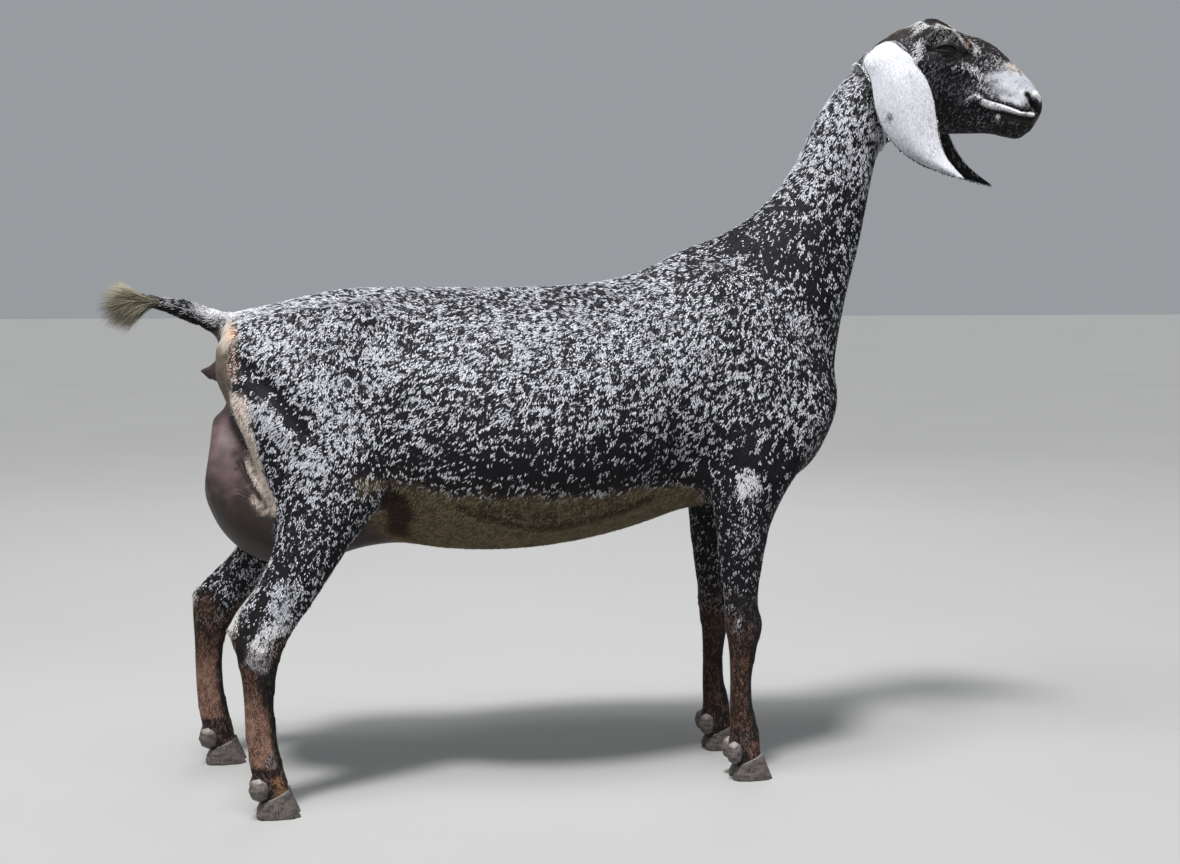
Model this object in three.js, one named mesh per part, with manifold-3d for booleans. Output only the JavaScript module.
// A standing Nubian doe in milk, life size, as a still display model.
// Millimetres, +Z up, +X towards the nose, +Y to the animal's left. The floor is z = 0.
// Every body part is a loft through a few ovals, named by where they sit on the animal.
import * as THREE from 'three';
import { mergeVertices } from 'three/addons/utils/BufferGeometryUtils.js';
import Module from 'manifold-3d';

const wasm = await Module();
wasm.setup();

// Driving dimensions
const WITHERS = 795; // floor to the top of the withers
const CROUP = 727; // floor to the level back
const CHEST_FRONT = 379; // how far forward the brisket reaches
const BARREL_HALF = 171; // half the width of the belly at its widest
const GAP = 0.3; // between neighbouring solids
const FORE_TRACK = 80; // midline to the middle of a fore foot
const HIND_TRACK = 137; // midline to the middle of a hind foot
const LEFT_HIND_BACK = 82; // the left hind foot stands this far behind the right one
const LEFT_FORE_BACK = 2; // and the left fore foot this far behind its fellow
const HEAD_TURN = THREE.MathUtils.degToRad(-22); // the head looks to the animal's right
const HEAD_PIVOT = new THREE.Vector3(425, 0, 0); // where the head turns on the neck, seen from above
const EYE_RADIUS = 16;
const EYE_AT = new THREE.Vector3(108, 42, 1065.5); // in the head's own frame, left side
const MOUTH_CORNER = new THREE.Vector3(166, 0, 984);
const MOUTH_SLOPE = THREE.MathUtils.degToRad(14);
const EAR_THICK = 3.2;
const EAR_TIP = 878; // how high the tip of the ear hangs
const LEFT_EAR_FORWARD = 44; // how much further forwards the tip of the left ear hangs
const FORE_TOE = 259; // how far forward the right fore foot reaches
const HIND_TOE = -427; // and the right hind foot
const CLAW_LENGTH = 62;
const CLAW_HALF = 11.5;
const CLEFT = 1.6; // between the two claws of a foot
const DEWCLAW_HALF = { fore: new THREE.Vector3(13, 11.5, 18), hind: new THREE.Vector3(16.5, 12, 18) };
const DEWCLAW_BEHIND = { fore: 60, hind: 56 }; // from the toe back to the middle of a dewclaw
const DEWCLAW_OUT = 14.8;
const DEWCLAW_UP = 42;
const TEAT_APART = 92;
const TEAT_ROOT = 330; // how high the teats leave the udder
const CHAIN_THICK = 3.6;

// Solids from three.js geometry
function facesOut(geometry) {
  const p = geometry.attributes.position;
  const index = geometry.index.array;
  const corner = [new THREE.Vector3(), new THREE.Vector3(), new THREE.Vector3()];
  let volume = 0;
  for (let i = 0; i < index.length; i += 3) {
    corner.forEach((c, k) => c.fromBufferAttribute(p, index[i + k]));
    volume += corner[0].dot(corner[1].clone().cross(corner[2]));
  }
  if (volume < 0) {
    for (let i = 0; i < index.length; i += 3) {
      [index[i + 1], index[i + 2]] = [index[i + 2], index[i + 1]];
    }
  }
  return geometry;
}

function solid(source, matrix = new THREE.Matrix4()) {
  const bare = new THREE.BufferGeometry().setAttribute('position', source.getAttribute('position').clone());
  if (source.index) bare.setIndex(source.index.clone());
  bare.applyMatrix4(matrix);
  const merged = facesOut(mergeVertices(bare, 1e-4));
  return new wasm.Manifold(new wasm.Mesh({
    numProp: 3,
    vertProperties: new Float32Array(merged.attributes.position.array),
    triVerts: new Uint32Array(merged.index.array),
  }));
}

const biggest = (made) => made.decompose().sort((a, b) => b.volume() - a.volume())[0];
const joined = (list) => list.reduce((a, b) => a.add(b));
const without = (body, list) => list.reduce((a, b) => a.subtract(b), body);

// Lofts. A section runs from `low` to `high` in the side view, [x, z] each, and `wide` to each side of y.
// `at` is the height of its widest place, 0 at low to 1 at high. `crest` and `keel` over 1 narrow the upper
// and lower half, and under 1 make them boxier.
const numbers = ({ high, low, wide, at = 0.5, crest = 1, keel = 1, y = 0 }) =>
  [...high, ...low, wide, at, crest, keel, y];

function loft(sections, rings, sides, grow = 0) {
  const rows = sections.map(numbers);
  const middle = (r) => new THREE.Vector3((r[0] + r[2]) / 2, r[8], (r[1] + r[3]) / 2);
  const along = [0];
  for (let i = 1; i < rows.length; i += 1) {
    along.push(along[i - 1] + middle(rows[i]).distanceTo(middle(rows[i - 1])) + 1e-3);
  }
  const curve = new THREE.CubicInterpolant(along, rows.flat(), rows[0].length);
  const points = [];
  const ends = [];
  for (let i = 0; i < rings; i += 1) {
    const [hx, hz, lx, lz, wide, at, crest, keel, y] = curve.evaluate(along.at(-1) * i / (rings - 1));
    const up = new THREE.Vector3(hx - lx, 0, hz - lz);
    const stretch = 1 + 2 * grow / up.length();
    const low = new THREE.Vector3(lx, y, lz).addScaledVector(up, (1 - stretch) / 2);
    up.multiplyScalar(stretch);
    for (let j = 0; j < sides; j += 1) {
      const angle = 2 * Math.PI * j / sides;
      const rise = Math.sin(angle);
      const side = Math.cos(angle);
      const share = at + rise * (rise > 0 ? 1 - at : at);
      const reach = (wide + grow) * Math.sign(side) * Math.abs(side) ** (rise > 0 ? crest : keel);
      points.push(low.clone().addScaledVector(up, share).add(new THREE.Vector3(0, reach, 0)));
    }
    if (i === 0 || i === rings - 1) ends.push(low.addScaledVector(up, 0.5));
  }
  const index = [];
  for (let i = 0; i < rings - 1; i += 1) {
    for (let j = 0; j < sides; j += 1) {
      const [a, b] = [i * sides + j, i * sides + (j + 1) % sides];
      index.push(a, b, b + sides, a, b + sides, a + sides);
    }
  }
  const first = rings * sides;
  for (let j = 0; j < sides; j += 1) {
    const next = (j + 1) % sides;
    index.push(first, next, j, first + 1, first - sides + j, first - sides + next);
  }
  const made = new THREE.BufferGeometry().setFromPoints([...points, ...ends]);
  return made.setIndex(index);
}

const ball = (at, rx, ry, rz, across) => solid(
  new THREE.SphereGeometry(1, across, Math.round(across * 0.6)),
  new THREE.Matrix4().makeTranslation(at).scale(new THREE.Vector3(rx, ry, rz)),
);

// A thin cut through `point`. Returns what lies in front of it, along `normal`, and what lies behind it
function part(body, point, normal) {
  const size = 3000;
  const ahead = normal.clone().normalize();
  const turn = new THREE.Quaternion().setFromUnitVectors(new THREE.Vector3(0, 0, 1), ahead);
  const box = new THREE.BoxGeometry(size, size, size);
  return [1, -1].map((sign) => {
    const middle = point.clone().addScaledVector(ahead, sign * (size + GAP) / 2);
    const place = new THREE.Matrix4().compose(middle, turn, new THREE.Vector3(1, 1, 1));
    return biggest(body.intersect(solid(box, place)));
  });
}

const levelCut = (x, z, lean) => [new THREE.Vector3(x, 0, z), new THREE.Vector3(lean, 0, 1)];

// Trunk, from the rump to the brisket
const TRUNK = [
  { high: [-532, 668], low: [-528, 575], wide: 30 },
  { high: [-518, 689], low: [-512, 530], wide: 66, at: 0.6 },
  { high: [-470, 697], low: [-462, 462], wide: 92, at: 0.62 },
  { high: [-400, 716], low: [-400, 404], wide: 104, at: 0.6, crest: 1.1 },
  { high: [-330, CROUP], low: [-335, 368], wide: 116, at: 0.52, crest: 1.2 },
  { high: [-285, CROUP], low: [-285, 353], wide: 131, at: 0.47, crest: 1.25 },
  { high: [-215, CROUP], low: [-215, 341], wide: 156, at: 0.44, crest: 1.3 },
  { high: [-130, CROUP], low: [-130, 338], wide: BARREL_HALF, at: 0.43, crest: 1.25 },
  { high: [-30, 730], low: [-30, 347], wide: BARREL_HALF - 3, at: 0.44, crest: 1.25 },
  { high: [60, 745], low: [60, 366], wide: 149, at: 0.47, crest: 1.35 },
  { high: [130, 778], low: [135, 389], wide: 128, at: 0.48, crest: 1.45 },
  { high: [185, WITHERS], low: [200, 396], wide: 117, at: 0.46, crest: 1.5 },
  { high: [250, 765], low: [265, 403], wide: 108, at: 0.46, crest: 1.35 },
  { high: [310, 700], low: [305, 430], wide: 96, at: 0.46 },
  { high: [346, 645], low: [343, 459], wide: 76 },
  { high: [371, 608], low: [368, 492], wide: 48 },
  { high: [CHEST_FRONT, 580], low: [CHEST_FRONT - 1, 532], wide: 18 },
];

// Neck, from inside the shoulders to inside the head
const NECK = [
  { high: [130, 700], low: [369, 556], wide: 84 },
  { high: [166, 789], low: [377, 632], wide: 88, at: 0.44, crest: 1.35 },
  { high: [218, 814], low: [390, 705], wide: 70, at: 0.46, crest: 1.25 },
  { high: [264, 851], low: [405, 757], wide: 58, crest: 1.15 },
  { high: [302, 897], low: [418, 815], wide: 51 },
  { high: [318, 926], low: [425, 856], wide: 48 },
  { high: [340, 978], low: [436, 915], wide: 46, y: -1 },
  { high: [372, 1024], low: [447, 940], wide: 46, y: -3 },
  { high: [410, 1055], low: [478, 965], wide: 42, y: -10 },
];

// Head, in its own frame: x forwards from the pivot, z still from the floor
const HEAD = [
  { high: [-30, 1045], low: [-8, 975], wide: 30 },
  { high: [-14, 1068], low: [4, 946], wide: 42 },
  { high: [14, 1089], low: [22, 937], wide: 49, at: 0.55 },
  { high: [52, 1108], low: [58, 940], wide: 54, at: 0.64, keel: 1.2 },
  { high: [86, 1121], low: [90, 942], wide: 57, at: 0.68, keel: 1.35 },
  { high: [106, 1114], low: [110, 943], wide: 57, at: 0.68, keel: 1.4, crest: 1.1 },
  { high: [126, 1098], low: [130, 944], wide: 51, at: 0.66, keel: 1.35, crest: 1.15 },
  { high: [152, 1092], low: [152, 944], wide: 43, at: 0.58, keel: 1.2, crest: 1.2 },
  { high: [180, 1078], low: [178, 944], wide: 36, at: 0.55, keel: 1.1, crest: 1.15 },
  { high: [205, 1053], low: [203, 938], wide: 33, at: 0.52 },
  { high: [228, 1029], low: [221, 941], wide: 31, at: 0.52 },
  { high: [243, 1011], low: [239, 954], wide: 26, at: 0.55 },
  { high: [251, 992], low: [250, 976], wide: 12 },
];
const headFrame = new THREE.Matrix4().makeTranslation(HEAD_PIVOT)
  .multiply(new THREE.Matrix4().makeRotationZ(HEAD_TURN));
const onHead = (x, y, z) => new THREE.Vector3(x, y, z).applyMatrix4(headFrame);

// Fore leg on the left, from the shoulder blade to the coronet. `high` is its front edge, `low` its back
const FORE = [
  { high: [214, 756], low: [152, 752], wide: 9, y: 60 },
  { high: [262, 700], low: [130, 705], wide: 24, y: 77 },
  { high: [312, 640], low: [125, 640], wide: 33, y: 86 },
  { high: [345, 575], low: [132, 580], wide: 38, y: 86 },
  { high: [341, 520], low: [140, 522], wide: 40, y: 86 },
  { high: [308, 466], low: [150, 472], wide: 41, y: 86 },
  { high: [279, 427], low: [157, 440], wide: 41, y: 86 },
  { high: [258, 392], low: [164, 408], wide: 37, y: 86 },
  { high: [249, 354], low: [170, 356], wide: 32, y: 85 },
  { high: [242, 312], low: [175, 312], wide: 28, y: 83 },
  { high: [236, 268], low: [182, 270], wide: 24, y: 82 },
  { high: [241, 243], low: [184, 243], wide: 26, y: 81 },
  { high: [244, 220], low: [187, 218], wide: 26, y: FORE_TRACK },
  { high: [236, 190], low: [191, 192], wide: 19, y: FORE_TRACK },
  { high: [229, 150], low: [193, 150], wide: 16, y: FORE_TRACK },
  { high: [230, 114], low: [193, 112], wide: 16.5, y: FORE_TRACK },
  { high: [238, 86], low: [192, 84], wide: 20.5, y: FORE_TRACK },
  { high: [241, 66], low: [196, 62], wide: 21, y: FORE_TRACK },
  { high: [242, 52], low: [201, 40], wide: 18.5, y: FORE_TRACK },
  { high: [243, 41], low: [200, 24.5], wide: 20, y: FORE_TRACK },
];

// Hind leg, from the hip to the coronet, as the right one stands, drawn on the left
const HIND = [
  { high: [-318, 706], low: [-440, 702], wide: 14, y: 66 },
  { high: [-300, 680], low: [-528, 668], wide: 36, y: 64 },
  { high: [-297, 622], low: [-547, 621], wide: 52, y: 68, crest: 0.8 },
  { high: [-292, 560], low: [-525, 560], wide: 58, y: 78, crest: 0.8 },
  { high: [-288, 502], low: [-492, 502], wide: 56, y: 90, crest: 0.8 },
  { high: [-294, 458], low: [-471, 458], wide: 49, y: 99, crest: 0.9 },
  { high: [-315, 420], low: [-457, 425], wide: 41, y: 108 },
  { high: [-345, 380], low: [-457, 385], wide: 33, y: 116 },
  { high: [-372, 342], low: [-471, 345], wide: 28, y: 122 },
  { high: [-396, 305], low: [-495, 305], wide: 24, y: 127 },
  { high: [-417, 274], low: [-519, 274], wide: 21, y: 131 },
  { high: [-434, 253], low: [-527, 256], wide: 20, y: 133 },
  { high: [-446, 230], low: [-517, 232], wide: 21.5, y: 134 },
  { high: [-456, 204], low: [-509, 205], wide: 20, y: 135 },
  { high: [-460, 165], low: [-505, 165], wide: 16.5, y: 136 },
  { high: [-459, 122], low: [-503, 120], wide: 16.5, y: HIND_TRACK },
  { high: [-455, 88], low: [-501, 86], wide: 20.5, y: HIND_TRACK },
  { high: [-449, 66], low: [-496, 63], wide: 21.5, y: HIND_TRACK },
  { high: [-446, 52], low: [-486, 40], wide: 18.5, y: HIND_TRACK },
  { high: [-443, 41], low: [-486, 24.5], wide: 20, y: HIND_TRACK },
];

// Moves the lower leg back, fully below `full` and not at all above `none`, and puts the leg on its side
function stance(sections, side, back, none, full) {
  const slid = ([x, z]) => [x - back * (1 - THREE.MathUtils.smoothstep(z, full, none)), z];
  return sections.map((s) => ({ ...s, high: slid(s.high), low: slid(s.low), y: side * s.y }));
}

// One claw of a cloven hoof: sole flat on the floor, toe at the front, coronet sloping down to the heel.
// The wall leans in towards the coronet, more on the outside than along the cleft.
function claw(toe, y, cleft) {
  const heel = toe - CLAW_LENGTH;
  const wall = (fromToe, toeUp, fromHeel, heelUp, narrower) => ({
    high: [toe - fromToe, toeUp],
    low: [heel + fromHeel, heelUp],
    wide: CLAW_HALF - narrower,
    y: y + cleft * narrower * 0.6,
    at: 0.42,
    crest: 0.75,
    keel: 0.7,
  });
  const walls = [
    wall(0, 0, 0, 0, 0),
    wall(4, 9, -1, 7, 0),
    wall(11, 26, 3, 15, 0.8),
    wall(16, 39.4, 7, 23.2, 1.6),
  ];
  return solid(loft(walls, 4, 8));
}

// Udder, from its high rear to where it runs out under the belly
const UDDER = [
  { high: [-549, 540], low: [-538, 516], wide: 22 },
  { high: [-544, 548], low: [-561, 455], wide: 62 },
  { high: [-500, 545], low: [-541, 385], wide: 84, at: 0.4 },
  { high: [-450, 500], low: [-495, 338], wide: 92, at: 0.4 },
  { high: [-400, 450], low: [-430, 322], wide: 92, at: 0.42 },
  { high: [-355, 430], low: [-378, 336], wide: 82, at: 0.45 },
  { high: [-318, 410], low: [-330, 350], wide: 62, at: 0.5 },
  { high: [-280, 390], low: [-286, 352], wide: 26, at: 0.5 },
];
const TEAT = [
  { high: [-409, 345], low: [-447, 345], wide: 18 },
  { high: [-410, 318], low: [-441, 316], wide: 15 },
  { high: [-408, 296], low: [-433, 293], wide: 12 },
  { high: [-407, 282], low: [-426, 279], wide: 9 },
  { high: [-411, 276], low: [-420, 275], wide: 4 },
];
const DOCK = [
  { high: [-500, 690], low: [-506, 640], wide: 22 },
  { high: [-533, 691], low: [-546, 657], wide: 20 },
  { high: [-556, 701], low: [-565, 667], wide: 15.5 },
  { high: [-585, 709], low: [-591, 680], wide: 12.5 },
  { high: [-612, 712], low: [-614, 689], wide: 9.5 },
  { high: [-634, 713], low: [-636, 695], wide: 7.5 },
];
const SWITCH = [
  { high: [-618, 715], low: [-619, 686], wide: 12 },
  { high: [-642, 725], low: [-643, 680], wide: 18 },
  { high: [-664, 730], low: [-664, 669], wide: 23 },
  { high: [-686, 724], low: [-684, 665], wide: 23 },
  { high: [-702, 710], low: [-700, 677], wide: 15 },
];

// Ear, in the head's frame, left side: a thin leaf hung from the side of the poll. Each row is a strip
// across it: its front and back edge [x, z], how far out it hangs, and how far its middle bows outwards
const EAR = [
  { front: [44, 1081], back: [22, 1081], out: 42, bow: 2 },
  { front: [51, 1074], back: [2, 1074], out: 52, bow: 7 },
  { front: [56, 1062], back: [-10, 1062], out: 61, bow: 13 },
  { front: [66, 1045], back: [-11, 1045], out: 69, bow: 16 },
  { front: [80, 1027], back: [1, 1027], out: 74, bow: 17 },
  { front: [92, 1000], back: [5, 1000], out: 78, bow: 17 },
  { front: [97, 974], back: [10, 974], out: 80, bow: 16 },
  { front: [102, 946], back: [25, 944], out: 81, bow: 15 },
  { front: [107, 922], back: [46, 918], out: 83, bow: 13 },
  { front: [115, 904], back: [76, 896], out: 87, bow: 9 },
  { front: [127, 889], back: [106, 887], out: 91, bow: 4 },
  { front: [139, EAR_TIP], back: [134, EAR_TIP - 1], out: 93, bow: 1 },
];
const EAR_ROWS = 11;
const EAR_COLUMNS = 5;

// One face of the ear, `thick` out from its middle sheet. It thins to the rim, and its tip swings forwards.
function earFace(side, swing, thick) {
  const rows = EAR.map(({ front, back, out, bow }) => [...front, ...back, out, bow]);
  const top = rows[0][1];
  const curve = new THREE.CubicInterpolant(rows.map((r) => top - r[1]), rows.flat(), 6);
  const grid = [];
  for (let i = 0; i <= EAR_ROWS; i += 1) {
    const hang = i / EAR_ROWS;
    const [frontX, frontZ, backX, backZ, out, bow] = curve.evaluate((top - EAR_TIP) * hang);
    for (let j = 0; j <= EAR_COLUMNS; j += 1) {
      const k = j / EAR_COLUMNS;
      const rim = 0.35 + 0.65 * Math.sqrt(Math.min(1, 3 * k, 3 - 3 * k));
      const x = THREE.MathUtils.lerp(frontX, backX, k) + swing * hang ** 2;
      const y = side * (out + bow * Math.sin(Math.PI * k) + thick * rim);
      grid.push(onHead(x, y, THREE.MathUtils.lerp(frontZ, backZ, k)));
    }
  }
  return grid;
}

function ear(side, swing) {
  const [outer, inner] = [earFace(side, swing, EAR_THICK / 2), earFace(side, swing, -EAR_THICK / 2)];
  const width = EAR_COLUMNS + 1;
  const n = outer.length;
  const index = [];
  const quad = (a, b, c, d) => index.push(a, b, c, a, c, d);
  for (let i = 0; i < EAR_ROWS; i += 1) {
    for (let j = 0; j < EAR_COLUMNS; j += 1) {
      const a = i * width + j;
      quad(a, a + 1, a + 1 + width, a + width);
      quad(n + a, n + a + width, n + a + 1 + width, n + a + 1);
    }
    const [left, right] = [i * width, i * width + EAR_COLUMNS];
    quad(left, left + width, n + left + width, n + left);
    quad(right, n + right, n + right + width, right + width);
  }
  for (let j = 0; j < EAR_COLUMNS; j += 1) {
    const last = EAR_ROWS * width + j;
    quad(j, n + j, n + j + 1, j + 1);
    quad(last, last + 1, n + last + 1, n + last);
  }
  return solid(new THREE.BufferGeometry().setFromPoints([...outer, ...inner]).setIndex(index));
}

// The shapes that meet each other, at true size or grown all over by `grow` for a clearance
const SIDES = { right: -1, left: 1 };
const FORE_BACK = { right: 0, left: LEFT_FORE_BACK };
const HIND_BACK = { right: 0, left: LEFT_HIND_BACK };
const foreRows = (name) => stance(FORE, SIDES[name], FORE_BACK[name], 420, 120);
const hindRows = (name) => stance(HIND, SIDES[name], HIND_BACK[name], 540, 150);
const foreLeg = (name, grow) => solid(loft(foreRows(name), 20, 10, grow));
const hindLeg = (name, grow) => solid(loft(hindRows(name), 20, 12, grow));
const torso = (grow) => solid(loft(TRUNK, 22, 18, grow));
const throat = (grow) => solid(loft(NECK, 12, 14, grow));
const skull = (grow) => solid(loft(HEAD, 20, 14, grow), headFrame);
const dock = (grow) => solid(loft(DOCK, 8, 8, grow));
const teat = (side, grow) => solid(loft(TEAT.map((s) => ({ ...s, y: side * TEAT_APART / 2 })), 6, 8, grow));
const eyeball = (side, grow) => {
  const at = onHead(EYE_AT.x, side * EYE_AT.y, EYE_AT.z);
  return ball(at, EYE_RADIUS + grow, EYE_RADIUS + grow, EYE_RADIUS + grow, 12);
};
const legsGrown = Object.keys(SIDES).flatMap((name) => [foreLeg(name, GAP), hindLeg(name, GAP)]);
const found = {};

// Trunk, neck and head are one shape, with a low bulge round each eye and the small peak below the tail.
// The neck leaves the trunk at the shoulders, and the head leaves the neck behind the jaw.
const orbits = Object.values(SIDES).map((side) =>
  ball(onHead(EYE_AT.x - 2, side * (EYE_AT.y - 6), EYE_AT.z + 3), 25, 20, 21, 10));
const vulva = ball(new THREE.Vector3(-547, 0, 600), 21, 9, 20, 8);
const whole = biggest(without(joined([torso(0), throat(0), skull(0), ...orbits, vulva]), legsGrown));
const NECK_BASE = [new THREE.Vector3(280, 0, 716), new THREE.Vector3(0.56, 0, 0.83)];
const HEAD_BASE = [new THREE.Vector3(422, 0, 1000), new THREE.Vector3(0.86, -0.2, 0.46)];
const [neckAndHead, trunk] = part(whole, ...NECK_BASE);
const [headAll, neck] = part(neckAndHead, ...HEAD_BASE);
Object.assign(found, { trunk, neck });

// The lower jaw parts from the head along the mouth, with a straight edge down from the corner of the lips
const JAW_BLOCK = new THREE.Vector3(120, 120, 60);
const jawBlock = (grow) => solid(
  new THREE.BoxGeometry(...JAW_BLOCK),
  headFrame.clone().multiply(new THREE.Matrix4().makeTranslation(MOUTH_CORNER))
    .multiply(new THREE.Matrix4().makeRotationY(MOUTH_SLOPE))
    .multiply(new THREE.Matrix4().makeTranslation(JAW_BLOCK.x / 2 - grow, 0, grow - JAW_BLOCK.z / 2)),
);
found.lower_jaw = biggest(headAll.intersect(jawBlock(0)));
found.head = biggest(without(headAll, [jawBlock(GAP), eyeball(-1, GAP), eyeball(1, GAP)]));

// Parts a leg at its joints, from the top down, and stores each length under its own name
function cutLeg(leg, names, cuts, name) {
  let rest = leg;
  names.forEach((piece, i) => {
    let above = rest;
    if (i < cuts.length) [above, rest] = part(rest, ...levelCut(...cuts[i]));
    found[`${piece}_${name}`] = above;
  });
}

// A foot: two claws under the pastern, and two dewclaws behind it
function addFoot(end, name, toe, track, legGrown) {
  const side = SIDES[name];
  for (const [which, out] of [['outer', side], ['inner', -side]]) {
    const y = side * track + out * (CLAW_HALF + CLEFT / 2);
    found[`${end}_claw_${which}_${name}`] = biggest(claw(toe, y, -out).subtract(legGrown));
    const at = new THREE.Vector3(toe - DEWCLAW_BEHIND[end], side * track + out * DEWCLAW_OUT, DEWCLAW_UP);
    const dewclaw = ball(at, ...DEWCLAW_HALF[end], 8);
    found[`${end}_dewclaw_${which}_${name}`] = biggest(dewclaw.subtract(legGrown));
  }
}

const headGrown = [skull(GAP), throat(GAP)];
const FORE_NAMES = ['shoulder', 'forearm', 'fore_cannon', 'fore_pastern'];
const HIND_NAMES = ['thigh', 'shank', 'hind_cannon', 'hind_pastern'];
for (const [name, side] of Object.entries(SIDES)) {
  found[`eye_${name}`] = eyeball(side, 0);
  found[`ear_${name}`] = biggest(without(ear(side, name === 'left' ? LEFT_EAR_FORWARD : 0), headGrown));
  cutLeg(foreLeg(name, 0), FORE_NAMES, [[220, 436, 0.25], [210, 228, 0], [210, 74, 0]], name);
  cutLeg(hindLeg(name, 0), HIND_NAMES, [[-385, 432, -0.2], [-480, 232, 0], [-480, 74, 0]], name);
  addFoot('fore', name, FORE_TOE - FORE_BACK[name], FORE_TRACK, foreLeg(name, GAP));
  addFoot('hind', name, HIND_TOE - HIND_BACK[name], HIND_TRACK, hindLeg(name, GAP));
}

// The udder fills the space between the thighs, and the teats hang from under it
const round = [torso(GAP), ...legsGrown, teat(-1, GAP), teat(1, GAP)];
found.udder = biggest(without(solid(loft(UDDER, 9, 12)), round));
for (const [name, side] of Object.entries(SIDES)) {
  found[`teat_${name}`] = part(teat(side, 0), ...levelCut(-425, TEAT_ROOT, 0))[1];
}
found.tail = biggest(without(dock(0), [torso(GAP), ...legsGrown]));
found.tail_switch = biggest(solid(loft(SWITCH, 7, 8)).subtract(dock(GAP)));

// Collar chain: a closed loop on the neck just behind the ears, found by looking in at it from all round
const COLLAR_TOP = new THREE.Vector3(396, 0, 1062);
const COLLAR_THROAT = new THREE.Vector3(441, 0, 928);
const COLLAR_POINTS = 18;
function collarPath(worn) {
  const middle = COLLAR_TOP.clone().lerp(COLLAR_THROAT, 0.5);
  const up = COLLAR_TOP.clone().sub(middle).normalize();
  const body = new THREE.Mesh(geometryOf(worn));
  const points = [];
  for (let i = 0; i < COLLAR_POINTS; i += 1) {
    const a = 2 * Math.PI * i / COLLAR_POINTS;
    const out = up.clone().multiplyScalar(Math.sin(a)).add(new THREE.Vector3(0, Math.cos(a), 0));
    const ray = new THREE.Raycaster(middle.clone().addScaledVector(out, 200), out.clone().negate());
    const [hit] = ray.intersectObject(body);
    points.push(hit.point.addScaledVector(out, CHAIN_THICK));
  }
  return new THREE.CatmullRomCurve3(points, true);
}
const chainRound = new THREE.Shape().absarc(0, 0, CHAIN_THICK / 2, 0, 2 * Math.PI);
const chainLoop = new THREE.ExtrudeGeometry(chainRound, {
  steps: 26,
  curveSegments: 3,
  bevelEnabled: false,
  extrudePath: collarPath(joined([found.neck, found.head])),
});
found.collar_chain = biggest(without(solid(chainLoop), headGrown));

// Materials and the scene graph
const finish = (color, roughness) => new THREE.MeshStandardMaterial({ color, roughness, metalness: 0 });
const coat = finish(0x4a4c52, 0.75);
const brown = finish(0x3f2a22, 0.7);
const white = finish(0xcfcfd4, 0.75);
const bare = finish(0x5a4644, 0.6);
const horn = finish(0x5b5550, 0.55);
const wet = finish(0x1a120c, 0.1);
const tassel = finish(0x77705c, 0.85);
const steel = new THREE.MeshStandardMaterial({ color: 0xb9bcc0, roughness: 0.25, metalness: 1 });

function materialFor(name) {
  if (name.includes('claw')) return horn;
  if (name.startsWith('eye')) return wet;
  if (name.startsWith('ear')) return white;
  if (name.startsWith('udder') || name.startsWith('teat')) return bare;
  if (name.includes('cannon') || name.includes('pastern')) return brown;
  if (name === 'tail_switch') return tassel;
  if (name === 'collar_chain') return steel;
  return coat;
}

function geometryOf(made) {
  const mesh = made.getMesh();
  const flat = new Float32Array(mesh.numVert * 3);
  for (let i = 0; i < mesh.numVert; i += 1) {
    flat.set(mesh.vertProperties.subarray(i * mesh.numProp, i * mesh.numProp + 3), i * 3);
  }
  const made3 = new THREE.BufferGeometry().setAttribute('position', new THREE.BufferAttribute(flat, 3));
  made3.setIndex(new THREE.BufferAttribute(mesh.triVerts, 1)).computeVertexNormals();
  return made3;
}

const goat = new THREE.Group();
const placed = new THREE.Group();
for (const [name, made] of Object.entries(found)) {
  const mesh = new THREE.Mesh(geometryOf(made), materialFor(name));
  mesh.name = name;
  placed.add(mesh);
}
goat.add(placed);

// The origin is the middle of the bounding box, on the floor
const box = new THREE.Box3().setFromObject(placed);
const centre = box.getCenter(new THREE.Vector3());
placed.position.set(-centre.x, -centre.y, -box.min.z);
export default goat;
